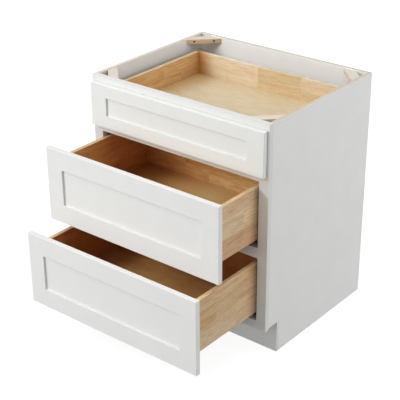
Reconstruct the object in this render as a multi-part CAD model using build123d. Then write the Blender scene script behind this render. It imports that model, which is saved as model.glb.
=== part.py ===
from build123d import *
import os
from math import radians, sqrt, tan

# Kitchen base cabinet with three drawers, in millimetres: a face-frame carcass on a recessed toe kick,
# shaker drawer fronts, dovetailed drawer boxes and full-extension runners hidden under the boxes.
# X runs to the right as seen from the room, Y from the room to the wall, Z up from the floor.
# The origin is the bottom centre of the back, where wall and floor meet, so the front faces -Y.
# The top drawer is shut, and the middle and bottom drawers stand part way out.

# ---- carcass ----
cabinet_width = 762.0
cabinet_depth = 609.6            # wall to the front of the face frame
cabinet_height = 876.3
side_thickness = 12.7
back_thickness = 12.7
floor_thickness = 12.7
back_rabbet = 6.35               # how far the back sits into each side
floor_dado = 6.35                # how far the floor sits into each side
floor_drop = 6.35                # floor below the top of the bottom rail

# ---- face frame ----
frame_thickness = 19.05
stile_width = 38.1
top_rail_width = 38.1
mid_rail_width = 38.1
bottom_rail_width = 31.75

# ---- toe kick ----
kick_height = 114.3              # floor to the underside of the face frame
kick_setback = 69.85
kick_board_thickness = 12.7
kick_notch_step = 6.35           # the side's notch ends this far above the face frame's underside

# ---- corner braces ----
brace_thickness = 19.05
brace_width = 34.925
brace_void_leg = 46.0            # open triangle left in the corner behind the brace
brace_drop = 3.175               # top of the brace below the top of the cabinet
brace_ease = 1.0
brace_screw_inset = 30.0         # from each end of the long edge
brace_bore_depth = 18.0
brace_bore_radius = 4.2

# ---- drawer fronts ----
front_thickness = 19.05
front_stand_off = 1.0            # air between a shut front and the face frame, for the bumper dots
side_reveal = 7.94
top_reveal = 22.225
bottom_reveal = 15.875
front_spacing = 9.525
top_front_height = 158.75
front_stile_width = 69.85
top_front_rail_width = 46.0
lower_front_rail_width = 69.85
front_recess = 7.0               # face of the frame to face of the panel
front_panel_thickness = 6.35
front_groove_depth = 9.5
front_panel_play = 0.5           # panel edge to groove bottom
front_groove_stop = 6.0          # solid wood left at the ends of each stile's groove
front_round = 1.2
front_back_ease = 0.4
front_inner_ease = 0.8

# ---- drawer boxes ----
box_side_gap = 4.8               # face frame opening to the box, each side
box_wall = 15.875
box_bottom_thickness = 9.525
box_bottom_recess = 12.7         # underside of the box to underside of its bottom panel
box_groove_depth = 7.0
box_edge_round = 2.0
top_box_length = 533.4
lower_box_length = 457.2
top_box_lift = 14.0              # rail below to underside of the box
lower_box_lift = 31.75
top_box_headroom = 6.6           # box to rail above
lower_box_headroom = 19.05

# ---- dovetails ----
tail_length = 11.1
tail_pitch = 25.4
tail_share = 0.68                # width of a tail's tip over the pitch
tail_slope = 9.0                 # degrees

# ---- runners ----
sheet = 1.2                      # steel of all three runner members
channel_width = 20.0
channel_lip = 4.0
runner_inset = 0.8               # side of the box to the outboard wall of the channels
runner_rail_gap = 0.7            # underside of the runners to the rail below the top drawer
member_gap = 2.6                 # cabinet channel to drawer channel, where the mid plate runs
slide_clearance = 0.3
cabinet_channel_start = 2.0      # behind the front of the face frame
drawer_channel_start = 6.0       # behind the inner face of the box front
middle_start = 1.0               # behind the front end of the drawer channel
middle_end = 1.0                 # short of the rear end of the cabinet channel
middle_web_thickness = 1.5
mid_plate_margin = 1.0
shoe_length = 30.0
shoe_spacing = 140.0
shoe_width = 8.0
shoe_lead = 1.5
stop_height = 6.0
stop_clearance = 0.5
top_travel = 508.0
lower_travel = 432.0

# ---- what holds the runners ----
bracket_length = 58.0
bracket_sheet = 1.5
bracket_below_box = 1.0
socket_wall = 2.5
socket_play = 0.15
socket_overlap = 22.0
socket_plate_width = 46.0
socket_plate_height = 56.0
socket_plate_thickness = 4.0
socket_plate_corner = 5.0
hook_width = 10.0
hook_height = 12.0
hook_tongue_width = 4.4
hook_tongue_length = 6.0
hook_tongue_rise = 6.0
hook_hole_radius = 3.0
hook_hole_depth = 8.0
notch_play = 1.0

# ---- locking clips ----
clip_width = 30.0
clip_length = 38.0
clip_height = 10.5
clip_gap = 0.4                   # clip to the drawer channel
clip_tooth_length = 5.0
clip_tooth_height = 3.0
clip_tooth_reach = 1.4
clip_tooth_back = 22.0           # behind the inner face of the box front
clip_slot_play = 0.5
clip_corner = 5.0
clip_finger_length = 9.0
clip_finger_width = 15.0

# ---- how far the drawers stand out ----
top_pull = 0.0
middle_pull = 229.0
bottom_pull = 342.0

# ---- places worked out from the sizes ----
half_width = cabinet_width / 2
frame_front = -cabinet_depth
frame_back = frame_front + frame_thickness
opening_half = half_width - stile_width
side_inner = half_width - side_thickness
lower_front_height = (cabinet_height - kick_height - top_reveal - bottom_reveal
                      - top_front_height - 2 * front_spacing) / 2
top_front_bottom = cabinet_height - top_reveal - top_front_height
middle_front_bottom = top_front_bottom - front_spacing - lower_front_height
bottom_front_bottom = middle_front_bottom - front_spacing - lower_front_height
upper_mid_rail_bottom = top_front_bottom - front_spacing / 2 - mid_rail_width / 2
lower_mid_rail_bottom = middle_front_bottom - front_spacing / 2 - mid_rail_width / 2
bottom_rail_top = kick_height + bottom_rail_width
top_opening = (upper_mid_rail_bottom + mid_rail_width, cabinet_height - top_rail_width)
middle_opening = (lower_mid_rail_bottom + mid_rail_width, upper_mid_rail_bottom)
bottom_opening = (bottom_rail_top, lower_mid_rail_bottom)
top_box_height = top_opening[1] - top_opening[0] - top_box_lift - top_box_headroom
lower_box_height = (min(middle_opening[1] - middle_opening[0], bottom_opening[1] - bottom_opening[0])
                    - lower_box_lift - lower_box_headroom)
floor_top = bottom_rail_top - floor_drop
kick_notch_top = kick_height + kick_notch_step
brace_top = cabinet_height - brace_drop
brace_long_leg = brace_void_leg + brace_width * sqrt(2)
box_half = opening_half - box_side_gap
box_inner_half = box_half - box_wall
channel_outer = box_inner_half - runner_inset
channel_inner = channel_outer - channel_width
channel_middle = (channel_outer + channel_inner) / 2
runner_height = box_bottom_recess + top_box_lift - runner_rail_gap
channel_height = (runner_height - member_gap) / 2
channel_room = channel_height - 2 * sheet
shoe_height = channel_room - 2 * slide_clearance
box_start = frame_front - front_stand_off        # outer face of a box front when the drawer is shut


def block(x0, x1, y0, y1, z0, z1):
    """A square-edged board between two corners."""
    size = Box(x1 - x0, y1 - y0, z1 - z0)
    return Pos((x0 + x1) / 2, (y0 + y1) / 2, (z0 + z1) / 2) * size


def run_along_y(outline, y0, y1):
    """A profile of (x, z) corners drawn out from y0 to y1."""
    corners = [(x, y0, z) for x, z in outline]
    face = make_face(Polyline(*corners, close=True))
    return extrude(face, amount=y1 - y0, dir=(0, 1, 0))


def rod(start, direction, length, radius):
    """A round bar from a point, in any direction."""
    return Plane(origin=start, z_dir=direction) * Cylinder(radius, length,
                                                           align=(Align.CENTER, Align.CENTER, Align.MIN))


def both_sides(piece):
    """A right-hand piece and its left-hand twin."""
    return [piece, mirror(piece, about=Plane.YZ)]


def save(name, *solids):
    """Write one node, of one solid or of a set of alike ones."""
    kept = [solid for piece in solids for solid in piece.solids()]
    shape = kept[0] if len(kept) == 1 else Compound(children=kept)
    export_step(shape, f"parts/{name}.step")


# ---- corner braces ----

def brace(side, at_back):
    """A mitred stick across a top corner, with two screw holes bored into its long edge."""
    x = side * side_inner
    y = -back_thickness if at_back else frame_back
    inward = -1 if at_back else 1
    outline = [(x - side * brace_void_leg, y), (x - side * brace_long_leg, y),
               (x, y + inward * brace_long_leg), (x, y + inward * brace_void_leg)]
    face = make_face(Polyline(*[(px, py, brace_top) for px, py in outline], close=True))
    stick = extrude(face, amount=brace_thickness, dir=(0, 0, -1))
    facing = Vector(-side, inward, 0).normalized()
    long_face = stick.faces().sort_by(lambda f: f.normal_at().dot(facing))[-1]
    stick = chamfer(long_face.edges().filter_by(Plane.XY), brace_ease)
    inset = brace_screw_inset / sqrt(2)
    for along in (inset, brace_long_leg - inset):
        mouth = Vector(x - side * along, y + inward * (brace_long_leg - along), brace_top - brace_thickness / 2)
        stick -= rod(mouth, facing * -1, brace_bore_depth, brace_bore_radius)
    return stick


# ---- drawers: what differs between the three ----

class Drawer:
    """Sizes and places of one drawer, as it lies when shut."""

    def __init__(self, name, front_bottom, front_height, rail_width, opening, lift, height, length,
                 travel, pull):
        self.name = name
        self.front_bottom = front_bottom
        self.front_top = front_bottom + front_height
        self.rail_width = rail_width
        self.box_bottom = opening[0] + lift
        self.box_top = self.box_bottom + height
        self.length = length
        self.travel = travel
        self.out = Pos(0, -pull, 0)
        self.half_out = Pos(0, -pull / 2, 0)
        self.panel_under = self.box_bottom + box_bottom_recess
        self.panel_top = self.panel_under + box_bottom_thickness
        self.runner_base = self.panel_under - runner_height
        self.box_end = box_start + length
        self.channel_end = frame_front + cabinet_channel_start + length
        self.drawer_channel_front = box_start + box_wall + drawer_channel_start
        self.middle_front = self.drawer_channel_front + middle_start
        self.middle_rear = self.channel_end - middle_end


drawers = [
    Drawer("top", top_front_bottom, top_front_height, top_front_rail_width, top_opening,
           top_box_lift, top_box_height, top_box_length, top_travel, top_pull),
    Drawer("middle", middle_front_bottom, lower_front_height, lower_front_rail_width, middle_opening,
           lower_box_lift, lower_box_height, lower_box_length, lower_travel, middle_pull),
    Drawer("bottom", bottom_front_bottom, lower_front_height, lower_front_rail_width, bottom_opening,
           lower_box_lift, lower_box_height, lower_box_length, lower_travel, bottom_pull),
]


# ---- shaker drawer front: two stiles, two rails and a panel in their grooves ----

def front_pieces(drawer):
    half = half_width - side_reveal
    face = box_start - front_thickness
    bottom, top = drawer.front_bottom, drawer.front_top
    stile_edge = half - front_stile_width
    rail_edges = (bottom + drawer.rail_width, top - drawer.rail_width)

    blank = block(-half, half, face, box_start, bottom, top)
    blank = fillet(blank.faces().sort_by(Axis.Y)[0].edges(), front_round)
    blank = chamfer(blank.faces().sort_by(Axis.Y)[-1].edges(), front_back_ease)
    blank -= block(-stile_edge, stile_edge, face, box_start, *rail_edges)
    window = blank.faces().sort_by(Axis.Y)[0].inner_wires()[0]
    blank = chamfer(window.edges(), front_inner_ease)

    groove_front = face + front_recess
    groove_back = groove_front + front_panel_thickness
    reach = stile_edge + front_groove_depth
    slot = block(-reach, reach, groove_front, groove_back,
                 bottom + front_groove_stop, top - front_groove_stop)
    stile_cut = blank - block(-stile_edge, stile_edge, face, box_start, bottom, top) - slot
    stiles = stile_cut.solids().sort_by(Axis.X)

    rails = []
    groove_ends = (rail_edges[0] - front_groove_depth, rail_edges[1] + front_groove_depth)
    middle = blank & block(-stile_edge, stile_edge, face, box_start, bottom, top)
    middle -= block(-stile_edge, stile_edge, groove_front, groove_back, *groove_ends)
    for rail, tenon_ends in zip(middle.solids().sort_by(Axis.Z),
                                ((bottom + front_groove_stop, groove_ends[0]),
                                 (groove_ends[1], top - front_groove_stop))):
        for side in (-1, 1):
            tenon = block(min(side * stile_edge, side * reach), max(side * stile_edge, side * reach),
                          groove_front, groove_back, *tenon_ends)
            rail = rail + tenon
        rails.append(rail)

    edge = front_groove_depth - front_panel_play
    panel = block(-stile_edge - edge, stile_edge + edge, groove_front, groove_back,
                  rail_edges[0] - edge, rail_edges[1] + edge)
    return list(stiles), rails, panel


# ---- dovetailed drawer box ----

def tails(drawer, at_front):
    """The tails on one end of both sides: narrow at the root, wide at the tip."""
    root = box_start + box_wall if at_front else drawer.box_end - box_wall
    tip = root - tail_length if at_front else root + tail_length
    height = drawer.box_top - drawer.box_bottom
    count = max(2, round(height / tail_pitch))
    pitch = height / count
    half_tip = pitch * tail_share / 2
    half_root = half_tip - tail_length * tan(radians(tail_slope))
    row = []
    for number in range(count):
        z = drawer.box_bottom + pitch * (number + 0.5)
        outline = [(box_inner_half, root, z - half_root), (box_inner_half, tip, z - half_tip),
                   (box_inner_half, tip, z + half_tip), (box_inner_half, root, z + half_root)]
        face = make_face(Polyline(*outline, close=True))
        row.append(extrude(face, amount=box_wall, dir=(1, 0, 0)))
    return row


def box_pieces(drawer):
    """Sides with tails, a front and a back with their sockets, and the bottom panel in its grooves."""
    low, high = drawer.box_bottom, drawer.box_top
    front_in, back_in = box_start + box_wall, drawer.box_end - box_wall
    ring = block(-box_half, box_half, box_start, drawer.box_end, low, high)
    ring -= block(-box_inner_half, box_inner_half, front_in, back_in, low, high)
    ring = fillet(ring.faces().sort_by(Axis.Z)[-1].edges(), box_edge_round)

    edge = box_groove_depth
    bottom = block(-box_inner_half - edge, box_inner_half + edge, front_in - edge, back_in + edge,
                   drawer.panel_under, drawer.panel_top)
    ring -= bottom

    side_shape = block(box_inner_half, box_half, front_in, back_in, low, high)
    for tail in tails(drawer, True) + tails(drawer, False):
        side_shape += tail
    right = ring & side_shape
    left = mirror(right, about=Plane.YZ)
    ends = ring - side_shape - mirror(side_shape, about=Plane.YZ)
    front, back = ends.solids().sort_by(Axis.Y)

    for side in (-1, 1):
        inner = side * (channel_inner - notch_play)
        outer = side * box_inner_half
        back -= block(min(inner, outer), max(inner, outer), back_in, drawer.box_end,
                      low, drawer.panel_under)
        mouth = Vector(side * channel_middle, drawer.box_end, drawer.panel_under + hook_tongue_rise)
        back -= rod(mouth, (0, -1, 0), hook_hole_depth, hook_hole_radius)
    return left, right, front, back, bottom


# ---- three-member runners, drawn for the right-hand side ----

def channel_outline(base, opens_up):
    """A channel with in-turned lips, as (x, z) corners."""
    up = 1 if opens_up else -1
    x0, x1 = channel_inner, channel_outer
    height, lip = channel_height, channel_lip + sheet
    corners = [(x0, 0), (x1, 0), (x1, height), (x1 - lip, height), (x1 - lip, height - sheet),
               (x1 - sheet, height - sheet), (x1 - sheet, sheet), (x0 + sheet, sheet),
               (x0 + sheet, height - sheet), (x0 + lip, height - sheet), (x0 + lip, height), (x0, height)]
    return [(x, base + up * z) for x, z in corners]


def stop_tab(base, opens_up, y0, y1):
    """The tab that a shoe meets at full extension."""
    start = base + sheet if opens_up else base - sheet - stop_height
    return block(web_side() - shoe_width, web_side(), y0, y1, start, start + stop_height)


def cabinet_runner(drawer):
    """The fixed channel, with the bracket that carries its front end on the stile."""
    y0 = frame_front + cabinet_channel_start
    base = drawer.runner_base
    runner = run_along_y(channel_outline(base, True), y0, drawer.channel_end)
    web_top = drawer.box_bottom - bracket_below_box
    edge = opening_half
    bracket = [(channel_outer - sheet / 2, base), (edge, base), (edge, web_top),
               (edge - bracket_sheet, web_top), (edge - bracket_sheet, base + bracket_sheet),
               (channel_outer - sheet / 2, base + bracket_sheet)]
    runner += run_along_y(bracket, y0, y0 + bracket_length)
    stop = drawer.middle_rear - shoe_length - shoe_spacing - drawer.travel / 2 - stop_clearance
    runner += stop_tab(base, True, stop - sheet, stop)
    return runner


def web_side():
    """Inboard face of the middle member's web, which runs beside the outboard lips."""
    return channel_outer - sheet - channel_lip - slide_clearance - middle_web_thickness


def middle_runner(drawer):
    """The member between the two channels: a web with a foot, a head and a mid plate."""
    web = web_side()
    outer = web + middle_web_thickness
    foot = drawer.runner_base + sheet + slide_clearance
    head = drawer.panel_under - sheet - slide_clearance
    plate = (drawer.runner_base + drawer.panel_under) / 2
    half_plate = member_gap / 2 - slide_clearance
    toe = channel_outer - sheet - slide_clearance
    left, right = channel_inner + mid_plate_margin, channel_outer - mid_plate_margin
    outline = [(web, foot), (toe, foot), (toe, foot + sheet), (outer, foot + sheet),
               (outer, plate - half_plate), (right, plate - half_plate), (right, plate + half_plate),
               (outer, plate + half_plate), (outer, head - sheet), (toe, head - sheet), (toe, head),
               (web, head), (web, plate + half_plate), (left, plate + half_plate),
               (left, plate - half_plate), (web, plate - half_plate)]
    return run_along_y(outline, drawer.middle_front, drawer.middle_rear)


def shoes(drawer):
    """Nylon shoes on the middle member's web: two run in the cabinet channel, two in the drawer channel."""
    low = drawer.runner_base + channel_height / 2
    high = drawer.panel_under - channel_height / 2
    rear, front = drawer.middle_rear, drawer.middle_front
    blocks = []
    for y, z in ((rear - shoe_length, low), (rear - shoe_length - shoe_spacing, low),
                 (front, high), (front + shoe_spacing, high)):
        shoe = block(web_side() - shoe_width, web_side(), y, y + shoe_length,
                     z - shoe_height / 2, z + shoe_height / 2)
        blocks.append(chamfer(shoe.edges().filter_by(Axis.X), shoe_lead))
    return blocks


def drawer_runner(drawer):
    """The channel under the box, with a slot for the clip's tooth and a hook behind the box back."""
    base = drawer.panel_under
    y0 = drawer.drawer_channel_front
    hook_back = drawer.box_end + sheet
    runner = run_along_y(channel_outline(base, False), y0, hook_back)
    hook = block(channel_middle - hook_width / 2, channel_middle + hook_width / 2,
                 drawer.box_end, hook_back, base - sheet, base + hook_height)
    tongue = block(channel_middle - hook_tongue_width / 2, channel_middle + hook_tongue_width / 2,
                   drawer.box_end - hook_tongue_length, drawer.box_end,
                   base + hook_tongue_rise - sheet / 2, base + hook_tongue_rise + sheet / 2)
    stop = drawer.middle_front + shoe_spacing + shoe_length + drawer.travel / 2 + stop_clearance
    runner += hook + tongue + stop_tab(base, False, stop, stop + sheet)
    tooth_y, tooth_z = clip_tooth_place(drawer)
    half_y = clip_tooth_length / 2 + clip_slot_play
    half_z = clip_tooth_height / 2 + clip_slot_play
    return runner - block(channel_inner, channel_inner + sheet, tooth_y - half_y, tooth_y + half_y,
                          tooth_z - half_z, tooth_z + half_z)


# ---- locking clips and rear sockets ----

def clip_tooth_place(drawer):
    return box_start + box_wall + clip_tooth_back, drawer.panel_under - channel_height / 2


def locking_clip(drawer):
    """The moulded catch behind the box front: its tooth sits in the drawer channel's slot."""
    front = box_start + box_wall
    outer = channel_inner - clip_gap
    inner = outer - clip_width
    top = drawer.panel_under
    body = block(inner, outer, front, front + clip_length, top - clip_height, top)
    body = chamfer(body.edges().filter_by(Axis.Z).sort_by(Axis.Y)[-2:], clip_corner)
    finger = block(inner - clip_finger_length, inner, front + clip_corner,
                   front + clip_corner + clip_finger_width, top - clip_height / 2, top)
    finger = chamfer(finger.edges().filter_by(Axis.Z).sort_by(Axis.X)[:2], clip_corner)
    tooth_y, tooth_z = clip_tooth_place(drawer)
    tooth = block(outer, outer + clip_gap + clip_tooth_reach, tooth_y - clip_tooth_length / 2,
                  tooth_y + clip_tooth_length / 2, tooth_z - clip_tooth_height / 2,
                  tooth_z + clip_tooth_height / 2)
    return body + finger + tooth


def rear_socket(drawer):
    """The moulded cradle that carries the fixed channel's rear end from the cabinet back."""
    start = drawer.channel_end - socket_overlap
    wall = -back_thickness
    base = drawer.runner_base
    inner = channel_inner - socket_play
    outer = channel_outer + socket_play
    rim = base + channel_height - sheet
    cradle = [(inner - socket_wall, base - socket_wall), (outer + socket_wall, base - socket_wall),
              (outer + socket_wall, rim), (outer, rim), (outer, base), (inner, base), (inner, rim),
              (inner - socket_wall, rim)]
    socket = run_along_y(cradle, start, wall)
    half = socket_plate_width / 2
    plate = block(channel_middle - half, channel_middle + half, wall - socket_plate_thickness, wall,
                  base - socket_wall, base - socket_wall + socket_plate_height)
    return socket + chamfer(plate.edges().filter_by(Axis.Y), socket_plate_corner)


# ---- carcass boards ----

def side_panel(side):
    """Notched for the toe kick, rabbeted for the back and dadoed for the floor."""
    panel = block(side_inner, half_width, frame_back, 0, 0, cabinet_height)
    panel -= block(side_inner, half_width, frame_back, frame_front + kick_setback + kick_board_thickness,
                   0, kick_notch_top)
    panel -= block(side_inner, side_inner + back_rabbet, -back_thickness, 0, 0, cabinet_height)
    panel -= block(side_inner, side_inner + floor_dado, frame_back, -back_thickness,
                   floor_top - floor_thickness, floor_top)
    return mirror(panel, about=Plane.YZ) if side < 0 else panel


def back_panel():
    half = side_inner + back_rabbet
    return block(-half, half, -back_thickness, 0, 0, cabinet_height)


def stile(side):
    edges = sorted((side * opening_half, side * half_width))
    return block(edges[0], edges[1], frame_front, frame_back, kick_height, cabinet_height)


def rail(bottom, width):
    return block(-opening_half, opening_half, frame_front, frame_back, bottom, bottom + width)


# ---- write every node ----

os.makedirs("parts", exist_ok=True)

save("left_side_panel", side_panel(-1))
save("right_side_panel", side_panel(1))
save("back_panel", back_panel())
save("floor_panel", block(-side_inner - floor_dado, side_inner + floor_dado, frame_back, -back_thickness,
                          floor_top - floor_thickness, floor_top))
save("left_stile", stile(-1))
save("right_stile", stile(1))
save("top_rail", rail(cabinet_height - top_rail_width, top_rail_width))
save("upper_mid_rail", rail(upper_mid_rail_bottom, mid_rail_width))
save("lower_mid_rail", rail(lower_mid_rail_bottom, mid_rail_width))
save("bottom_rail", rail(kick_height, bottom_rail_width))
kick_front = frame_front + kick_setback
save("toe_kick_board", block(-half_width, half_width, kick_front, kick_front + kick_board_thickness,
                             0, kick_notch_top))
for side, side_name in ((-1, "left"), (1, "right")):
    save(f"front_{side_name}_brace", brace(side, False))
    save(f"back_{side_name}_brace", brace(side, True))
save("cabinet_runners", *[piece for drawer in drawers for piece in both_sides(cabinet_runner(drawer))])
save("rear_sockets", *[piece for drawer in drawers for piece in both_sides(rear_socket(drawer))])

for drawer in drawers:
    name, out, half_out = drawer.name, drawer.out, drawer.half_out
    stiles, rails, panel = front_pieces(drawer)
    left, right, box_front, box_back, box_bottom = box_pieces(drawer)
    save(f"{name}_front_stiles", *[out * board for board in stiles])
    save(f"{name}_front_rails", *[out * board for board in rails])
    save(f"{name}_front_panel", out * panel)
    save(f"{name}_box_left_side", out * left)
    save(f"{name}_box_right_side", out * right)
    save(f"{name}_box_front", out * box_front)
    save(f"{name}_box_back", out * box_back)
    save(f"{name}_box_bottom", out * box_bottom)
    save(f"{name}_drawer_runners", *[out * piece for piece in both_sides(drawer_runner(drawer))])
    save(f"{name}_locking_clips", *[out * piece for piece in both_sides(locking_clip(drawer))])
    save(f"{name}_middle_runners", *[half_out * piece for piece in both_sides(middle_runner(drawer))])
    save(f"{name}_runner_shoes", *[half_out * piece for shoe in shoes(drawer) for piece in both_sides(shoe)])
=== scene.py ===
from math import cos, pi, radians, sin, sqrt

import bmesh
import bpy
from mathutils import Matrix, Vector


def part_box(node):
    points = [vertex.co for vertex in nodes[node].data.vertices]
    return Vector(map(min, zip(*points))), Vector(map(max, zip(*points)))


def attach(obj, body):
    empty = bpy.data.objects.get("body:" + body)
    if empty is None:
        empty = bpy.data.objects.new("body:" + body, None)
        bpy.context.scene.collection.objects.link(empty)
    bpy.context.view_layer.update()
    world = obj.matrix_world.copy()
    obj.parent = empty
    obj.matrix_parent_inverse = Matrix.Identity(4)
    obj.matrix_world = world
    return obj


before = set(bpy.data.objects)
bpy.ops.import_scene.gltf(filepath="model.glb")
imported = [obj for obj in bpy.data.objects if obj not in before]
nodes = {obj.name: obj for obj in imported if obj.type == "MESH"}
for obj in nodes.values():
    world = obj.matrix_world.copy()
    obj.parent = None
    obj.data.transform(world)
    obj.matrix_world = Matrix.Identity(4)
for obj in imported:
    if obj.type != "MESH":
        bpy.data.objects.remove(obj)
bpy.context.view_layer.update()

mm = 0.001
drawer_names = ("top", "middle", "bottom")

# ---- camera, solved from corners of the cabinet in the photograph ----
camera_place = (2.21123, -3.21821, 2.18737)
camera_azimuth = 38.996
camera_elevation = 26.262
camera_roll = -0.336
camera_focal = 1106.57           # in pixels of the 400-pixel frame
frame_pixels = 400
sensor_width = 36.0
camera_reach = 60.0

# ---- sizes shared with the CAD ----
carcass_depth = 609.6 * mm       # wall to the front of the face frame
back_thickness = 12.7 * mm
opening_half = 342.9 * mm        # middle plane to the inner edge of the face frame's stiles
box_inner_half = 322.225 * mm    # middle plane to the inside of a drawer box's side
front_seam = 303.21 * mm         # middle plane to the joint of a drawer front's stile and rail
box_bottom_recess = 12.7 * mm    # underside of a box to underside of its bottom panel
runner_height = 26.0 * mm        # underside of the runners to underside of a box's bottom panel
bracket_sheet = 1.5 * mm
socket_middle = 311.425 * mm     # middle plane to the middle of a rear socket
socket_plate_thickness = 4.0 * mm
brace_screw_inset = 30.0 * mm    # from each end of a brace's long edge

# ---- small fasteners: radius and height of the heads, and where they sit ----
brace_head = (3.1 * mm, 1.9 * mm)
brace_head_depth = 17.9 * mm     # from a brace's long edge to the seat at the end of the bore
bracket_head = (3.4 * mm, 1.6 * mm)
bracket_head_setback = 10.5 * mm              # behind the front of the face frame
socket_head = (3.8 * mm, 1.9 * mm)
socket_head_rises = (7.5 * mm, 44.5 * mm)     # above the underside of the runners
front_head = (4.2 * mm, 1.8 * mm)
front_head_margin_side = 10.0 * mm            # from the inside of the drawer box
front_head_margin_height = 20.0 * mm          # from the bottom panel and from the top edge
bumper_dot = (4.0 * mm, 0.9 * mm)
bumper_margin = 12.0 * mm                     # from the edges of the drawer front
head_steps = 24
dot_steps = 20
dot_rows = 5

# ---- sizes in the materials ----
seam_width = 0.3 * mm
veneer_pitch = 2.55 * mm         # one light and one dark layer of plywood
tanner_edge_start = 360.0 * mm   # the right side panel's edge is the tanner one
tanner_edge_full = 370.0 * mm
finger_half_pitch = 3.2 * mm
finger_slope = 1.3               # length of a finger over half its pitch
left_shade_width = 75.0 * mm       # how far the painted shade at the left end of a box's front and back reaches
right_light_half = 250.0 * mm     # the painted light of the right end sets in between these, left and right
front_light_start = 220.0 * mm    # behind the front end of a box's side, where painted light on its inner face sets in
front_light_full = 90.0 * mm
back_shade_start = 90.0 * mm     # before the front face of a box's back, where painted shade on the bottom panel sets in
back_shade_full = 30.0 * mm

# ---- studio ----
floor_size = 40.0
floor_drop = 0.5 * mm            # keeps the floor clear of the cabinet's underside
floor_bounce = 0.12              # shade of the floor as the cabinet sees it
floor_glow = 0.89                # light of the floor as the camera sees it
floor_catch = 0.26               # shade that keeps the cabinet's shadow in that light
surround_light = 0.41
lamps_aim = (0.0, -0.35, 0.45)
lamps = (                        # name, place, width and height, power
    ("key", (-2.78, -3.67, 2.95), (1.8, 1.8), 107),
    ("overhead", (0.0, -0.65, 3.6), (3.6, 3.2), 47),
    ("right_rear", (4.5, 2.0, 1.7), (3.0, 2.6), 113),
    ("low_front", (-0.5, -6.0, 0.55), (6.0, 1.0), 90),
)

# ---- colours: screen values from 0 to 255, and tints as shares of red, green and blue light ----
side_white = (236, 236, 234)
frame_white = (227, 227, 224)
front_white = (234, 234, 232)
# the top front's paint is a greener copy of front_white that offsets the warm light falling on it: painted
# light
top_front_white = (232, 234, 232)
wood_tones = {
    "straw": (246, 232, 203), "sand": (240, 223, 191), "wheat": (242, 226, 196),
    "honey": (230, 204, 162), "tan": (238, 219, 186), "ash": (236, 222, 198),
    "rose": (223, 194, 162), "dun": (231, 209, 180), "barley": (229, 208, 168),
}

# Rows of glued blocks, from the bottom up. A block is its tone and the share of the board's length
# where it ends, and row_tops says at which shares of the height two or three rows end.
row_tops = {2: (0.52, 1.0), 3: (0.38, 0.76, 1.0)}
end_rows = {
    "top": ((("straw", 0.22), ("wheat", 0.44), ("honey", 0.72), ("barley", 1.0)),
            (("wheat", 0.44), ("barley", 0.72), ("tan", 1.0))),
    "middle": ((("tan", 0.46), ("sand", 1.0)),
               (("sand", 0.3), ("honey", 0.66), ("tan", 1.0)),
               (("tan", 1.0),)),
    "bottom": ((("sand", 0.7), ("honey", 1.0)),
               (("tan", 0.4), ("sand", 1.0)),
               (("sand", 0.55), ("rose", 1.0))),
}
side_rows = {
    "top": ((("honey", 0.42), ("tan", 0.78), ("sand", 1.0)),
            (("tan", 0.60), ("sand", 1.0))),
    "middle": ((("rose", 0.62), ("tan", 1.0)),
               (("ash", 0.34), ("sand", 1.0)),
               (("dun", 0.44), ("tan", 1.0))),
    "bottom": ((("ash", 0.52), ("sand", 1.0)),
               (("honey", 0.28), ("tan", 1.0)),
               (("tan", 0.66), ("honey", 1.0))),
}
side_figure = 1.0
end_figures = {"top": 0.6, "middle": 1.15, "bottom": 0.6}

# Tints of a box's sides: outer face; inner face, browner as painted shade; painted light on the inner face's
# front part; and the top edge, lighter than the faces, partly the wood's tone and partly a painted
# highlight.
outer_tints = {"top": (0.82, 0.73, 0.63), "middle": (0.90, 0.81, 0.685), "bottom": (0.81, 0.715, 0.575)}
inner_shade_tints = {"top": (0.80, 0.61, 0.38), "middle": (0.75, 0.40, 0.22), "bottom": (0.70, 0.33, 0.165)}
front_inner_light_tints = {"top": (1.0, 1.0, 1.0), "middle": (1.14, 1.55, 1.45), "bottom": (1.0, 1.0, 1.0)}
side_edge_tints = {"top": (0.86, 0.855, 0.84), "middle": (0.98, 0.88, 0.76), "bottom": (0.98, 0.88, 0.76)}

# Tints of a box's front and back: as a whole, browner as painted shade in the lower drawers; towards the
# right, as painted light; at the left end, as painted shade; and on the top edge, partly the wood's tone and
# partly a painted highlight.
end_shade_tints = {"top": (1.0, 1.0, 1.0), "middle": (1.03, 0.70, 0.44), "bottom": (0.76, 0.46, 0.25)}
right_end_light_tints = {"top": (1.0, 1.0, 1.0), "middle": (1.24, 1.21, 0.91), "bottom": (0.76, 0.46, 0.25)}
left_end_shade_tints = {"top": (0.65, 0.35, 0.08), "middle": (0.76, 0.60, 0.43), "bottom": (0.76, 0.60, 0.43)}
end_edge_tints = {"top": (0.89, 0.95, 1.10), "middle": (0.98, 0.88, 0.76), "bottom": (0.98, 0.88, 0.76)}

# Bottom panels: two tones of the figure, which differ between drawers as painted light and shade; painted
# shade and light at shares of the inside width; and the tint of painted shade along the back edge.
sheet_tones = {
    "top": ((218, 203, 172), (213, 196, 164)),
    "middle": ((252, 232, 174), (249, 228, 166)),
    "bottom": ((247, 202, 130), (241, 192, 120)),
}
sheet_shades = {
    "top": ((0.02, (239, 214, 182)), (0.09, (244, 232, 212)), (0.18, (255, 255, 255))),
    "middle": ((0.02, (194, 150, 124)), (0.20, (220, 191, 175)), (0.35, (248, 227, 212)),
               (0.58, (255, 255, 255)), (0.66, (255, 240, 230))),
    "bottom": ((0.12, (205, 196, 194)), (0.22, (255, 255, 255)), (0.39, (255, 255, 255)),
               (0.60, (230, 223, 226))),
}
back_joint_shades = {"top": (0.97, 0.95, 0.88), "middle": (0.84, 0.75, 0.70), "bottom": (0.80, 0.72, 0.70)}


# ---------------------------------------------------------------- building materials from nodes

def shade(red, green, blue):
    """A colour given as screen values from 0 to 255, in the linear values that Blender mixes."""
    def linear(value):
        value /= 255
        return value / 12.92 if value <= 0.04045 else ((value + 0.055) / 1.055) ** 2.4
    return linear(red), linear(green), linear(blue), 1.0


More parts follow.
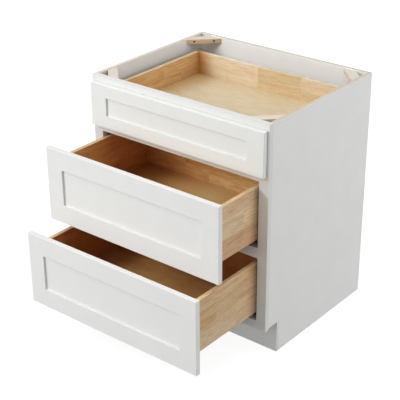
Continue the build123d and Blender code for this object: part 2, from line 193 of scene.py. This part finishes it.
class Material:
    """One procedural material, with short ways to add and join nodes."""

    def __init__(self, name, roughness=0.5, **sockets):
        self.material = bpy.data.materials.new(name)
        self.material.use_nodes = True
        self.tree = self.material.node_tree
        self.shader = self.tree.nodes["Principled BSDF"]
        self.shader.inputs["Roughness"].default_value = roughness
        for socket, value in sockets.items():
            self.shader.inputs[socket.replace("_", " ")].default_value = value
        self.place = self.add("ShaderNodeTexCoord").outputs["Object"]
        self.x, self.y, self.z = self.add("ShaderNodeSeparateXYZ", self.place).outputs
        facing = self.add("ShaderNodeTexCoord").outputs["Normal"]
        self.nx, self.ny, self.nz = self.add("ShaderNodeSeparateXYZ", facing).outputs

    def add(self, kind, *inputs, **settings):
        made = self.tree.nodes.new(kind)
        for key, value in settings.items():
            setattr(made, key, value)
        for number, value in enumerate(inputs):
            self.put(value, made.inputs[number])
        return made

    def put(self, value, socket):
        if isinstance(value, bpy.types.NodeSocket):
            self.tree.links.new(value, socket)
        else:
            socket.default_value = value

    def math(self, operation, *inputs):
        return self.add("ShaderNodeMath", *inputs, operation=operation).outputs[0]

    def vector(self, x=0.0, y=0.0, z=0.0):
        return self.add("ShaderNodeCombineXYZ", x, y, z).outputs[0]

    def noise(self, place, scale, detail=2.0, roughness=0.5):
        made = self.add("ShaderNodeTexNoise")
        self.put(place, made.inputs["Vector"])
        made.inputs["Scale"].default_value = scale
        made.inputs["Detail"].default_value = detail
        made.inputs["Roughness"].default_value = roughness
        return made.outputs[0]

    def ramp(self, value, *stops):
        made = self.add("ShaderNodeValToRGB", value)
        band = made.color_ramp
        while len(band.elements) < len(stops):
            band.elements.new(0.5)
        for element, (position, colour) in zip(band.elements, stops):
            element.position = position
            element.color = shade(*colour)
        return made.outputs[0]

    def range(self, value, low, high, to_low=0.0, to_high=1.0):
        return self.add("ShaderNodeMapRange", value, low, high, to_low, to_high).outputs[0]

    def blend(self, kind, factor, first, second):
        made = self.add("ShaderNodeMix", data_type="RGBA", blend_type=kind)
        for value, number in ((factor, 0), (first, 6), (second, 7)):
            self.put(value, made.inputs[number])
        return made.outputs[2]

    def mix(self, factor, first, second):
        """From the first colour to the second, each a socket or screen values from 0 to 255."""
        colours = [shade(*colour) if isinstance(colour, tuple) else colour for colour in (first, second)]
        return self.blend("MIX", factor, *colours)

    def tint(self, factor, tone, light):
        """A tone multiplied by shares of red, green and blue light, or by another tone."""
        return self.blend("MULTIPLY", factor, tone, (*light, 1.0) if isinstance(light, tuple) else light)

    def colour(self, value):
        self.put(value, self.shader.inputs["Base Color"])

    def roughness(self, value):
        self.put(value, self.shader.inputs["Roughness"])

    def bump(self, height, distance, strength=1.0):
        made = self.add("ShaderNodeBump")
        made.inputs["Strength"].default_value = strength
        made.inputs["Distance"].default_value = distance
        self.put(height, made.inputs["Height"])
        self.put(made.outputs[0], self.shader.inputs["Normal"])

    def facing_middle(self):
        """1 on the faces that look across the cabinet at its middle plane."""
        return self.math("LESS_THAN", self.math("MULTIPLY", self.nx, self.x), -0.1)


class Grain:
    """The figure of wood: noise drawn out along the board, which wanders a little across it."""

    def __init__(self, made, along, across, depth, offset, fine=1.0):
        self.made, self.along, self.depth, self.offset, self.fine = made, along, depth, offset, fine
        place = made.vector(made.math("ADD", made.math("MULTIPLY", along, 12.0), offset),
                            made.math("MULTIPLY", across, 9.0), offset)
        drift = made.noise(place, 1.0, 2.0)
        self.across = made.math("ADD", across, made.range(drift, 0.3, 0.7, -3.0 * mm, 3.0 * mm))

    def stretched(self, lengthwise, crosswise, detail, roughness):
        made = self.made
        place = made.vector(made.math("ADD", made.math("MULTIPLY", self.along, lengthwise), self.offset),
                            made.math("MULTIPLY", self.across, crosswise),
                            made.math("MULTIPLY", self.depth, crosswise))
        return made.noise(place, 1.0, detail, roughness)

    def streaks(self):
        return self.stretched(16.0, 170.0 * self.fine, 5.0, 0.65)

    def flecks(self):
        """Short and dark."""
        return self.stretched(55.0, 420.0 * self.fine, 3.0, 0.6)

    def pores(self):
        return self.stretched(120.0, 1300.0, 1.0, 0.5)

    def rings(self):
        """Broad and soft."""
        return self.stretched(4.0, 44.0, 3.0, 0.55)


# ---------------------------------------------------------------- paint and carcass boards

def paint_finish(made):
    """Sprayed satin paint: a fine orange peel and a little unevenness in the gloss."""
    peel = made.noise(made.place, 900, 3.0, 0.55)
    clouds = made.noise(made.place, 14, 3.0)
    made.roughness(made.range(clouds, 0.3, 0.7, 0.40, 0.50))
    made.bump(peel, 0.06 * mm, 0.5)
    return clouds


def painted(name, colour, seam=None):
    """White paint over wood; where two boards meet, a hairline shows through it."""
    made = Material(name)
    clouds = paint_finish(made)
    tone = made.mix(made.range(clouds, 0.25, 0.75), colour, tuple(c - 3 for c in colour))
    if seam is not None:
        off = made.math("ABSOLUTE", made.math("SUBTRACT", made.math("ABSOLUTE", made.x), seam))
        line = made.range(off, 0.0, seam_width, 0.16, 0.0)
        tone = made.mix(line, tone, (150, 147, 140))
    made.colour(tone)
    return made


def clouded(made, clouds, tone):
    """The slight greying of a carcass board's faces."""
    return made.mix(made.range(clouds, 0.25, 0.75, 0.0, 0.06), tone, (150, 148, 142))


def bare_top(made, tone, across, edge=(1.0, 1.0, 1.0)):
    """The light and dark layers of bare plywood on a board's top edge; the right board is the tanner one."""
    layers = made.math("FRACT", made.math("DIVIDE", across, veneer_pitch))
    wobble = made.noise(made.place, 60, 2.0)
    layers = made.math("ADD", layers, made.range(wobble, 0.3, 0.7, -0.12, 0.12))
    veneers = made.ramp(layers, (0.0, (224, 215, 202)), (0.44, (230, 222, 210)), (0.56, (209, 198, 182)),
                        (0.94, (212, 201, 185)), (1.0, (224, 215, 202)))
    at_right = made.range(made.x, tanner_edge_start, tanner_edge_full)
    veneers = made.tint(at_right, veneers, (0.89, 0.835, 0.755))
    top = made.math("GREATER_THAN", made.nz, 0.7)
    made.roughness(made.range(top, 0.0, 1.0, 0.45, 0.75))
    return made.mix(top, tone, made.tint(1.0, veneers, edge))


def side_board(name, outside, inside):
    """A side panel of the carcass, painted outside and laminated inside."""
    made = Material(name)
    clouds = paint_finish(made)
    tone = clouded(made, clouds, made.mix(made.facing_middle(), outside, inside))
    made.colour(bare_top(made, tone, made.x))
    return made


def back_board(name, outside, inside, edge):
    """The back panel: plain plywood on the wall side, laminated inside."""
    made = Material(name)
    clouds = paint_finish(made)
    wood = Grain(made, made.z, made.x, made.y, 5.0, 0.5)
    wall_side = made.ramp(wood.rings(), (0.35, outside), (0.65, tuple(c * 0.93 for c in outside)))
    wall_side = made.tint(made.range(wood.streaks(), 0.44, 0.76, 0.0, 0.4), wall_side, (0.86, 0.78, 0.68))
    facing_front = made.math("LESS_THAN", made.ny, -0.5)
    tone = clouded(made, clouds, made.mix(facing_front, wall_side, inside))
    made.colour(bare_top(made, tone, made.y, edge))
    return made


def laminated(name, colour):
    """The floor panel, the same pale grey all over."""
    made = Material(name)
    made.colour(clouded(made, paint_finish(made), colour))
    return made


# ---------------------------------------------------------------- wood of the drawer boxes and braces

def block_tones(made, rows, share, level, height):
    """The tone of each block, the dark glue lines between rows, and the number of the row."""
    tone, glue, number = None, 0.0, 0.0
    for blocks, bottom in zip(rows, (0.0, *row_tops[len(rows)])):
        starts = [0.0] + [end for _, end in blocks[:-1]]
        row = made.ramp(share, *[(start, wood_tones[wood]) for start, (wood, _) in zip(starts, blocks)])
        row.node.color_ramp.interpolation = "CONSTANT"
        if tone is None:
            tone = row
            continue
        above = made.math("GREATER_THAN", level, bottom)
        tone = made.mix(above, tone, row)
        number = made.math("ADD", number, above)
        off = made.math("MULTIPLY", made.math("ABSOLUTE", made.math("SUBTRACT", level, bottom)), height / mm)
        glue = made.math("MAXIMUM", glue, made.range(off, 0.10, 0.45, 0.25, 0.0))
    return tone, glue, number


def glued_wood(name, along, box, rows, figure):
    """Finger-jointed, edge-glued wood: rows of blocks, each with its own tone and grain.

    It is fitted to the box of one CAD board, whose length lies along x or y. figure is how strongly
    the grain shows. Returns the material and its tone, which is still to be tinted and joined up.
    """
    made = Material(name)
    axis = 1 if along == "y" else 0
    u, depth = (made.y, made.x) if along == "y" else (made.x, made.y)
    low, high = box
    length, height = high[axis] - low[axis], high.z - low.z
    level = made.math("DIVIDE", made.math("SUBTRACT", made.z, low.z), height)
    fingers = made.math("PINGPONG", made.z, finger_half_pitch)
    share = made.math("ADD", made.math("DIVIDE", made.math("SUBTRACT", u, low[axis]), length),
                      made.math("MULTIPLY", fingers, finger_slope / length))
    tone, glue, number = block_tones(made, rows, share, level, height)
    # every tone and row takes its grain from another place of the noise
    blue = made.add("ShaderNodeSeparateColor", tone).outputs[2]
    offset = made.math("ADD", made.math("MULTIPLY", blue, 90.0), made.math("MULTIPLY", number, 7.3))
    wood = Grain(made, u, made.z, depth, offset)
    streaks, pores = wood.streaks(), wood.pores()
    tone = made.tint(made.range(wood.rings(), 0.38, 0.66, 0.0, 0.8 * figure), tone, (0.85, 0.75, 0.67))
    tone = made.tint(made.range(streaks, 0.44, 0.66, 0.0, 0.85 * figure), tone, (0.80, 0.68, 0.57))
    tone = made.mix(made.range(streaks, 0.46, 0.28, 0.0, 0.25), tone, (246, 232, 204))
    tone = made.tint(made.range(wood.flecks(), 0.52, 0.72, 0.0, 0.7 * figure), tone, (0.76, 0.62, 0.52))
    tone = made.tint(made.range(pores, 0.62, 0.76, 0.0, 0.5), tone, (0.62, 0.48, 0.38))
    tone = made.tint(glue, tone, (0.60, 0.46, 0.34))
    made.roughness(made.range(streaks, 0.3, 0.7, 0.40, 0.54))
    made.bump(made.math("SUBTRACT", streaks, made.range(pores, 0.62, 0.74)), 0.08 * mm, 0.4)
    return made, tone


def with_top_edge(made, tone, plain, edge):
    """Join a tone to the shader, with the plain tone under another tint on the top edge, which is lighter
    than the faces and partly a painted highlight.
    """
    top = made.math("GREATER_THAN", made.nz, 0.6)
    made.colour(made.mix(top, tone, made.tint(1.0, plain, edge)))
    return made


def box_side_wood(drawer):
    """Wood of a drawer box's two sides, browner on their inner faces as painted shade, with painted light on
    the inner faces' front part.
    """
    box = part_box(f"{drawer}_box_right_side")
    made, plain = glued_wood(f"{drawer}_side_wood", "y", box, side_rows[drawer], side_figure)
    inward = made.facing_middle()
    outer = made.tint(1.0, plain, outer_tints[drawer])
    # the browner inner face is painted shade
    inner = made.tint(1.0, plain, inner_shade_tints[drawer])
    tone = made.mix(inward, outer, inner)
    front_end = box[0].y
    # painted light on the inner face near the box's front
    lit_near_front = made.range(made.y, front_end + front_light_start, front_end + front_light_full)
    tone = made.tint(made.math("MULTIPLY", inward, lit_near_front), tone, front_inner_light_tints[drawer])
    # the top edge's lighter tint is partly a painted highlight
    return with_top_edge(made, tone, plain, side_edge_tints[drawer])


def box_end_wood(drawer):
    """Wood of a drawer box's front and back: painted shade at the left end, painted light towards the right,
    and browner in the lower drawers as painted shade.
    """
    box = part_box(f"{drawer}_box_back")
    made, plain = glued_wood(f"{drawer}_end_wood", "x", box, end_rows[drawer], end_figures[drawer])
    # painted shade at the left end
    past_left_end = made.range(made.x, -box_inner_half, left_shade_width - box_inner_half)
    plain = made.mix(past_left_end, made.tint(1.0, plain, left_end_shade_tints[drawer]), plain)
    # painted light towards the right, and browner in the lower drawers as painted shade
    to_right = made.range(made.x, -right_light_half, right_light_half)
    left = made.tint(1.0, plain, end_shade_tints[drawer])
    right = made.tint(1.0, plain, right_end_light_tints[drawer])
    tone = made.mix(to_right, left, right)
    # the top edge's tint is partly a painted highlight
    return with_top_edge(made, tone, plain, end_edge_tints[drawer])


def birch_sheet(drawer):
    """Rotary-cut birch plywood of a box's bottom: wide soft figure, fine streaks, and painted shade and
    light across its width and along the back.
    """
    made = Material(f"{drawer}_birch_sheet")
    wood = Grain(made, made.x, made.y, made.z, 3.0, 0.5)
    streaks = wood.streaks()
    stretched = made.vector(made.math("MULTIPLY", made.x, 2.4), made.math("MULTIPLY", made.y, 9.0), 0.0)
    bands = made.math("SINE", made.math("MULTIPLY", made.noise(stretched, 1.0, 3.0), 60.0))
    # each drawer's two tones differ from the others' as painted light and shade
    light, dark = sheet_tones[drawer]
    tone = made.ramp(made.range(bands, -1.0, 1.0), (0.0, light), (1.0, dark))
    tone = made.tint(made.range(streaks, 0.44, 0.76, 0.0, 0.30), tone, (0.88, 0.80, 0.70))
    tone = made.tint(made.range(wood.flecks(), 0.50, 0.72, 0.0, 0.35), tone, (0.86, 0.78, 0.68))
    # painted shade and light across the width
    to_right = made.range(made.x, -box_inner_half, box_inner_half)
    tone = made.tint(1.0, tone, made.ramp(to_right, *sheet_shades[drawer]))
    back_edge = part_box(f"{drawer}_box_back")[0].y
    # painted shade along the back edge
    near_back = made.range(made.y, back_edge - back_shade_start, back_edge - back_shade_full)
    made.colour(made.tint(near_back, tone, back_joint_shades[drawer]))
    made.roughness(made.range(streaks, 0.3, 0.7, 0.34, 0.46))
    made.bump(streaks, 0.05 * mm, 0.3)
    return made


def sawn_wood(name):
    """Pale bare wood of the corner braces, the two pairs set apart as painted light and shade: the left pair
    darker, the right pair paler.
    """
    made = Material(name, 0.62)
    diagonal = made.math("MULTIPLY", made.math("ADD", made.math("ABSOLUTE", made.x), made.y), 0.7)
    wood = Grain(made, diagonal, made.z, made.math("SUBTRACT", made.x, made.y), 7.0)
    rings, streaks = wood.rings(), wood.streaks()
    # the left pair's darker tones are painted shade, the right pair's paler ones painted light
    left = made.ramp(rings, (0.35, (219, 195, 161)), (0.65, (205, 177, 139)))
    right = made.ramp(rings, (0.35, (234, 218, 199)), (0.65, (226, 208, 187)))
    tone = made.mix(made.math("GREATER_THAN", made.x, 0.0), left, right)
    tone = made.tint(made.range(streaks, 0.45, 0.75, 0.0, 0.5), tone, (0.84, 0.77, 0.68))
    top = made.math("GREATER_THAN", made.nz, 0.7)
    tone = made.mix(made.math("MULTIPLY", top, 0.8), tone, (220, 214, 204))
    made.colour(made.mix(made.range(wood.pores(), 0.62, 0.75, 0.0, 0.30), tone, (140, 104, 68)))
    made.bump(streaks, 0.1 * mm, 0.5)
    return made


# ---------------------------------------------------------------- steel, plastic and rubber

def galvanised(name, dark, light):
    """Zinc-coated sheet with its faint spangle and roll marks."""
    made = Material(name, Metallic=1.0)
    spangle = made.add("ShaderNodeTexVoronoi", made.place)
    spangle.inputs["Scale"].default_value = 260
    pick = made.add("ShaderNodeSeparateColor", spangle.outputs["Color"]).outputs[0]
    made.colour(made.ramp(pick, (0.0, dark), (1.0, light)))
    stretched = made.vector(made.math("MULTIPLY", made.x, 900.0), made.math("MULTIPLY", made.y, 12.0),
                            made.math("MULTIPLY", made.z, 900.0))
    marks = made.noise(stretched, 1.0, 2.0)
    gloss = made.range(pick, 0.0, 1.0, 0.28, 0.40)
    made.roughness(made.math("ADD", gloss, made.range(marks, 0.0, 1.0, -0.04, 0.04)))
    made.bump(marks, 0.02 * mm, 0.3)
    return made


def moulded(name, colour, roughness):
    """Plastic with a fine spark-eroded grain from its mould."""
    made = Material(name)
    speck = made.noise(made.place, 2400, 2.0)
    cloud = made.noise(made.place, 40, 2.0)
    made.colour(made.mix(made.range(cloud, 0.3, 0.7), colour, tuple(c - 6 for c in colour)))
    made.roughness(made.range(speck, 0.3, 0.7, roughness - 0.05, roughness + 0.05))
    made.bump(speck, 0.03 * mm, 0.4)
    return made


def plated_steel(name, dark, light):
    """Steel of the screws, with its plating a little worn."""
    made = Material(name, Metallic=1.0)
    wear = made.noise(made.place, 500, 3.0)
    made.colour(made.ramp(wear, (0.3, dark), (0.7, light)))
    made.roughness(made.range(wear, 0.3, 0.7, 0.25, 0.42))
    return made


def clear_rubber(name):
    made = Material(name, 0.25, Transmission_Weight=0.7, IOR=1.42)
    cloud = made.noise(made.place, 300, 2.0)
    made.colour(made.ramp(cloud, (0.0, (232, 232, 228)), (1.0, (244, 244, 240))))
    return made


# ---------------------------------------------------------------- which node gets which material

materials = {
    "frame": painted("frame_paint", frame_white, seam=opening_half),
    "front": painted("front_paint", front_white, seam=front_seam),
    "top_front": painted("top_front_paint", top_front_white, seam=front_seam),
    "kick": painted("kick_paint", (225, 225, 221)),
    "side": side_board("side_board", side_white, (223, 223, 222)),
    "back": back_board("back_board", (231, 214, 184), (253, 255, 255), edge=(0.90, 0.90, 0.89)),
    "floor": laminated("floor_board", (226, 219, 212)),
    "brace": sawn_wood("brace_wood"),
    "steel": galvanised("galvanised_sheet", (178, 181, 184), (208, 210, 212)),
    # the cabinet's runners get a near-black sheet that stands in for the shade at the openings' lower
    # corners: painted shade
    "shade_steel": galvanised("runner_sheet_painted_shade", (84, 84, 84), (106, 105, 104)),
    "shoe": moulded("shoe_nylon", (226, 226, 220), 0.38),
    "socket": moulded("socket_nylon", (222, 221, 214), 0.42),
    "clip": moulded("clip_plastic", (118, 122, 126), 0.45),
    "screw": plated_steel("zinc_screw_steel", (150, 142, 122), (188, 182, 166)),
    # near-black, so that the bottom of each brace bore reads dark: painted shade
    "shade_screw": plated_steel("brace_screw_painted_shade", (34, 32, 30), (58, 55, 52)),
    "bumper": clear_rubber("bumper_rubber"),
}
for drawer in drawer_names:
    materials[f"{drawer}_side"] = box_side_wood(drawer)
    materials[f"{drawer}_end"] = box_end_wood(drawer)
    materials[f"{drawer}_bottom"] = birch_sheet(drawer)

whole_names = {"back_panel": "back", "floor_panel": "floor", "toe_kick_board": "kick",
               "cabinet_runners": "shade_steel"}
name_endings = {"_side_panel": "side", "_brace": "brace", "_runner_shoes": "shoe", "_sockets": "socket",
                "_clips": "clip", "_runners": "steel"}


def finish_of(name):
    """The material that a CAD node gets."""
    if name in whole_names:
        return whole_names[name]
    for ending, finish in name_endings.items():
        if name.endswith(ending):
            return finish
    drawer = name.split("_")[0]
    if name.endswith(("_front_stiles", "_front_rails", "_front_panel")):
        return "top_front" if drawer == "top" else "front"
    if name.endswith(("_box_left_side", "_box_right_side")):
        return f"{drawer}_side"
    if name.endswith(("_box_front", "_box_back")):
        return f"{drawer}_end"
    if name.endswith("_box_bottom"):
        return f"{drawer}_bottom"
    return "frame"


for name, piece in nodes.items():
    for slot in piece.material_slots:
        slot.link = "OBJECT"
        slot.material = materials[finish_of(name)].material


# ---------------------------------------------------------------- screws and bumper dots

def turned(build, place, axis, profile, steps):
    """A shape turned about the axis, from its flat foot to an open top.

    The profile lists radius and height. Returns the placing and the top ring of vertices.
    """
    turn = Vector((0, 0, 1)).rotation_difference(Vector(axis)).to_matrix().to_4x4()
    put = Matrix.Translation(place) @ turn
    rings = []
    for radius, height in profile:
        angles = [2 * pi * step / steps for step in range(steps)]
        ring = [build.verts.new(put @ Vector((radius * cos(angle), radius * sin(angle), height)))
                for angle in angles]
        rings.append(ring)
    for low, high in zip(rings, rings[1:]):
        for step in range(steps):
            after = (step + 1) % steps
            build.faces.new((low[step], low[after], high[after], high[step]))
    build.faces.new(list(reversed(rings[0])))
    return put, rings[-1]


def screw_head(build, place, axis, radius, height):
    """A pan head with a cross recess, its top facing along the axis."""
    shares = ((1.0, 0.0), (1.0, 0.35), (0.93, 0.68), (0.78, 0.9), (0.6, 1.0))
    profile = [(radius * out, height * up) for out, up in shares]
    put, rim = turned(build, place, axis, profile, head_steps)
    arm, half = 0.46 * radius, 0.12 * radius
    taper, floor_share = 0.7, 0.35
    outline = [(arm, -half), (arm, half), (half, half), (half, arm), (-half, arm), (-half, half),
               (-arm, half), (-arm, -half), (-half, -half), (-half, -arm), (half, -arm), (half, -half)]
    cross = [build.verts.new(put @ Vector((x, y, height))) for x, y in outline]
    deep = [build.verts.new(put @ Vector((x * taper, y * taper, height * floor_share))) for x, y in outline]
    edges = [build.edges.get((rim[step], rim[(step + 1) % head_steps])) for step in range(head_steps)]
    for number in range(len(cross)):
        after = (number + 1) % len(cross)
        edges.append(build.edges.new((cross[number], cross[after])))
        build.faces.new((cross[number], cross[after], deep[after], deep[number]))
    build.faces.new(deep)
    bmesh.ops.triangle_fill(build, edges=edges, use_beauty=True, normal=put.to_3x3() @ Vector((0, 0, 1)))


def dome(build, place, axis, radius, height):
    """A round clear dot that cushions a shut front."""
    lifts = [(pi / 2) * row / dot_rows for row in range(dot_rows)]
    profile = [(radius * cos(lift), height * sin(lift)) for lift in lifts]
    put, rim = turned(build, place, axis, profile, dot_steps)
    peak = build.verts.new(put @ Vector((0, 0, height)))
    for step in range(dot_steps):
        build.faces.new((rim[step], rim[(step + 1) % dot_steps], peak))


def piece_from(name, build, finish, body):
    bmesh.ops.recalc_face_normals(build, faces=build.faces)
    mesh = bpy.data.meshes.new(name)
    build.to_mesh(mesh)
    build.free()
    piece = bpy.data.objects.new(name, mesh)
    bpy.context.collection.objects.link(piece)
    mesh.materials.append(materials[finish].material)
    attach(piece, body)


def brace_screws():
    """Heads at the ends of the bores in the braces' long edges."""
    build = bmesh.new()
    inset = brace_screw_inset / sqrt(2)
    for side in (-1, 1):
        for corner in ("front", "back"):
            low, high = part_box(f"{corner}_{'left' if side < 0 else 'right'}_brace")
            leg = high.x - low.x
            x = low.x if side < 0 else high.x
            y, inward = (low.y, 1) if corner == "front" else (high.y, -1)
            facing = Vector((-side, inward, 0)).normalized()
            for along in (inset, leg - inset):
                mouth = Vector((x - side * along, y + inward * (leg - along), (low.z + high.z) / 2))
                screw_head(build, mouth - facing * brace_head_depth, facing, *brace_head)
    return build


def runner_screws():
    """Heads of the screws that hold the runner brackets to the stiles and the sockets to the back."""
    build = bmesh.new()
    bracket_y = bracket_head_setback - carcass_depth
    socket_y = -back_thickness - socket_plate_thickness
    for drawer in drawer_names:
        panel_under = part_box(f"{drawer}_box_bottom")[0].z
        box_under = panel_under - box_bottom_recess
        base = panel_under - runner_height
        for side in (-1, 1):
            seat = Vector((side * (opening_half - bracket_sheet), bracket_y, (base + box_under) / 2))
            screw_head(build, seat, (-side, 0, 0), *bracket_head)
            for rise in socket_head_rises:
                seat = Vector((side * socket_middle, socket_y, base + rise))
                screw_head(build, seat, (0, -1, 0), *socket_head)
    return build


def front_screws(drawer):
    """Heads of the screws through the box front into the drawer front."""
    build = bmesh.new()
    box_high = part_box(f"{drawer}_box_front")[1]
    panel_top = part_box(f"{drawer}_box_bottom")[1].z
    for side in (-1, 1):
        for z in (panel_top + front_head_margin_height, box_high.z - front_head_margin_height):
            seat = Vector((side * (box_inner_half - front_head_margin_side), box_high.y, z))
            screw_head(build, seat, (0, 1, 0), *front_head)
    return build


def bumper_dots(drawer):
    """Dots on the drawer front's back, near its corners."""
    build = bmesh.new()
    low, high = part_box(f"{drawer}_front_stiles")
    for x in (low.x + bumper_margin, high.x - bumper_margin):
        for z in (low.z + bumper_margin, high.z - bumper_margin):
            dome(build, Vector((x, high.y, z)), (0, 1, 0), *bumper_dot)
    return build


# the brace screws' near-black steel is painted shade in the bores
piece_from("brace_screws", brace_screws(), "shade_screw", "carcass")
piece_from("runner_screws", runner_screws(), "screw", "carcass")
for drawer in drawer_names:
    piece_from(f"{drawer}_front_screws", front_screws(drawer), "screw", f"{drawer}_drawer")
    piece_from(f"{drawer}_bumper_dots", bumper_dots(drawer), "bumper", f"{drawer}_drawer")


# ---------------------------------------------------------------- floor, world, lamps and camera

def grey(level):
    return level, level, level, 1.0


def floor_material():
    """A white floor that the camera and reflections see nearly white, and that keeps a soft shadow."""
    made = Material("studio_floor", 0.9)
    made.colour(grey(floor_bounce))
    rays = made.add("ShaderNodeLightPath").outputs
    mirrored = made.math("MAXIMUM", rays["Is Glossy Ray"], rays["Is Transmission Ray"])
    seen = made.math("MAXIMUM", rays["Is Camera Ray"], mirrored)
    glow = made.add("ShaderNodeEmission", grey(1.0), floor_glow)
    faint = made.add("ShaderNodeBsdfDiffuse", grey(floor_catch))
    bright = made.add("ShaderNodeAddShader", glow.outputs[0], faint.outputs[0])
    both = made.add("ShaderNodeMixShader", seen, made.shader.outputs[0], bright.outputs[0])
    made.put(both.outputs[0], made.tree.nodes["Material Output"].inputs["Surface"])
    return made.material


def studio_world():
    """White where the camera sees it, directly or through clear rubber, and dimmer as a source of light."""
    world = bpy.data.worlds.new("studio")
    world.use_nodes = True
    tree = world.node_tree
    surround = tree.nodes["Background"]
    backdrop = tree.nodes.new("ShaderNodeBackground")
    for source, strength in ((surround, surround_light), (backdrop, 1.0)):
        source.inputs["Color"].default_value = grey(1.0)
        source.inputs["Strength"].default_value = strength
    rays = tree.nodes.new("ShaderNodeLightPath").outputs
    seen = tree.nodes.new("ShaderNodeMath")
    seen.operation = "MAXIMUM"
    tree.links.new(rays["Is Camera Ray"], seen.inputs[0])
    tree.links.new(rays["Is Transmission Ray"], seen.inputs[1])
    choose = tree.nodes.new("ShaderNodeMixShader")
    tree.links.new(seen.outputs[0], choose.inputs[0])
    tree.links.new(surround.outputs[0], choose.inputs[1])
    tree.links.new(backdrop.outputs[0], choose.inputs[2])
    tree.links.new(choose.outputs[0], tree.nodes["World Output"].inputs["Surface"])
    return world


def softbox(name, place, size, power):
    lamp = bpy.data.lights.new(name, "AREA")
    lamp.shape = "RECTANGLE"
    lamp.size, lamp.size_y = size
    lamp.energy = power
    made = bpy.data.objects.new(name, lamp)
    bpy.context.collection.objects.link(made)
    away = Vector(place) - Vector(lamps_aim)
    made.matrix_world = Matrix.Translation(place) @ away.to_track_quat("Z", "Y").to_matrix().to_4x4()


def photo_camera():
    """The camera of the photograph, which looks along the negative of back."""
    azimuth, elevation, roll = radians(camera_azimuth), radians(camera_elevation), radians(camera_roll)
    back = Vector((sin(azimuth) * cos(elevation), -cos(azimuth) * cos(elevation), sin(elevation)))
    sideways = (-back).cross(Vector((0, 0, 1))).normalized()
    upright = sideways.cross(-back)
    right = cos(roll) * sideways + sin(roll) * upright
    up = -sin(roll) * sideways + cos(roll) * upright
    view = bpy.data.cameras.new("photo_view")
    view.sensor_width = sensor_width
    view.lens = camera_focal / frame_pixels * sensor_width
    view.clip_end = camera_reach
    made = bpy.data.objects.new("photo_view", view)
    bpy.context.collection.objects.link(made)
    made.matrix_world = Matrix.Translation(camera_place) @ Matrix((right, up, back)).transposed().to_4x4()
    return made


bpy.ops.mesh.primitive_plane_add(size=floor_size, location=(0, 0, -floor_drop))
ground = bpy.context.object
ground.name = "studio_floor"
ground.data.materials.append(floor_material())

for lamp in lamps:
    softbox(*lamp)

scene = bpy.context.scene
scene.world = studio_world()
scene.camera = photo_camera()
scene.view_settings.view_transform = "Standard"
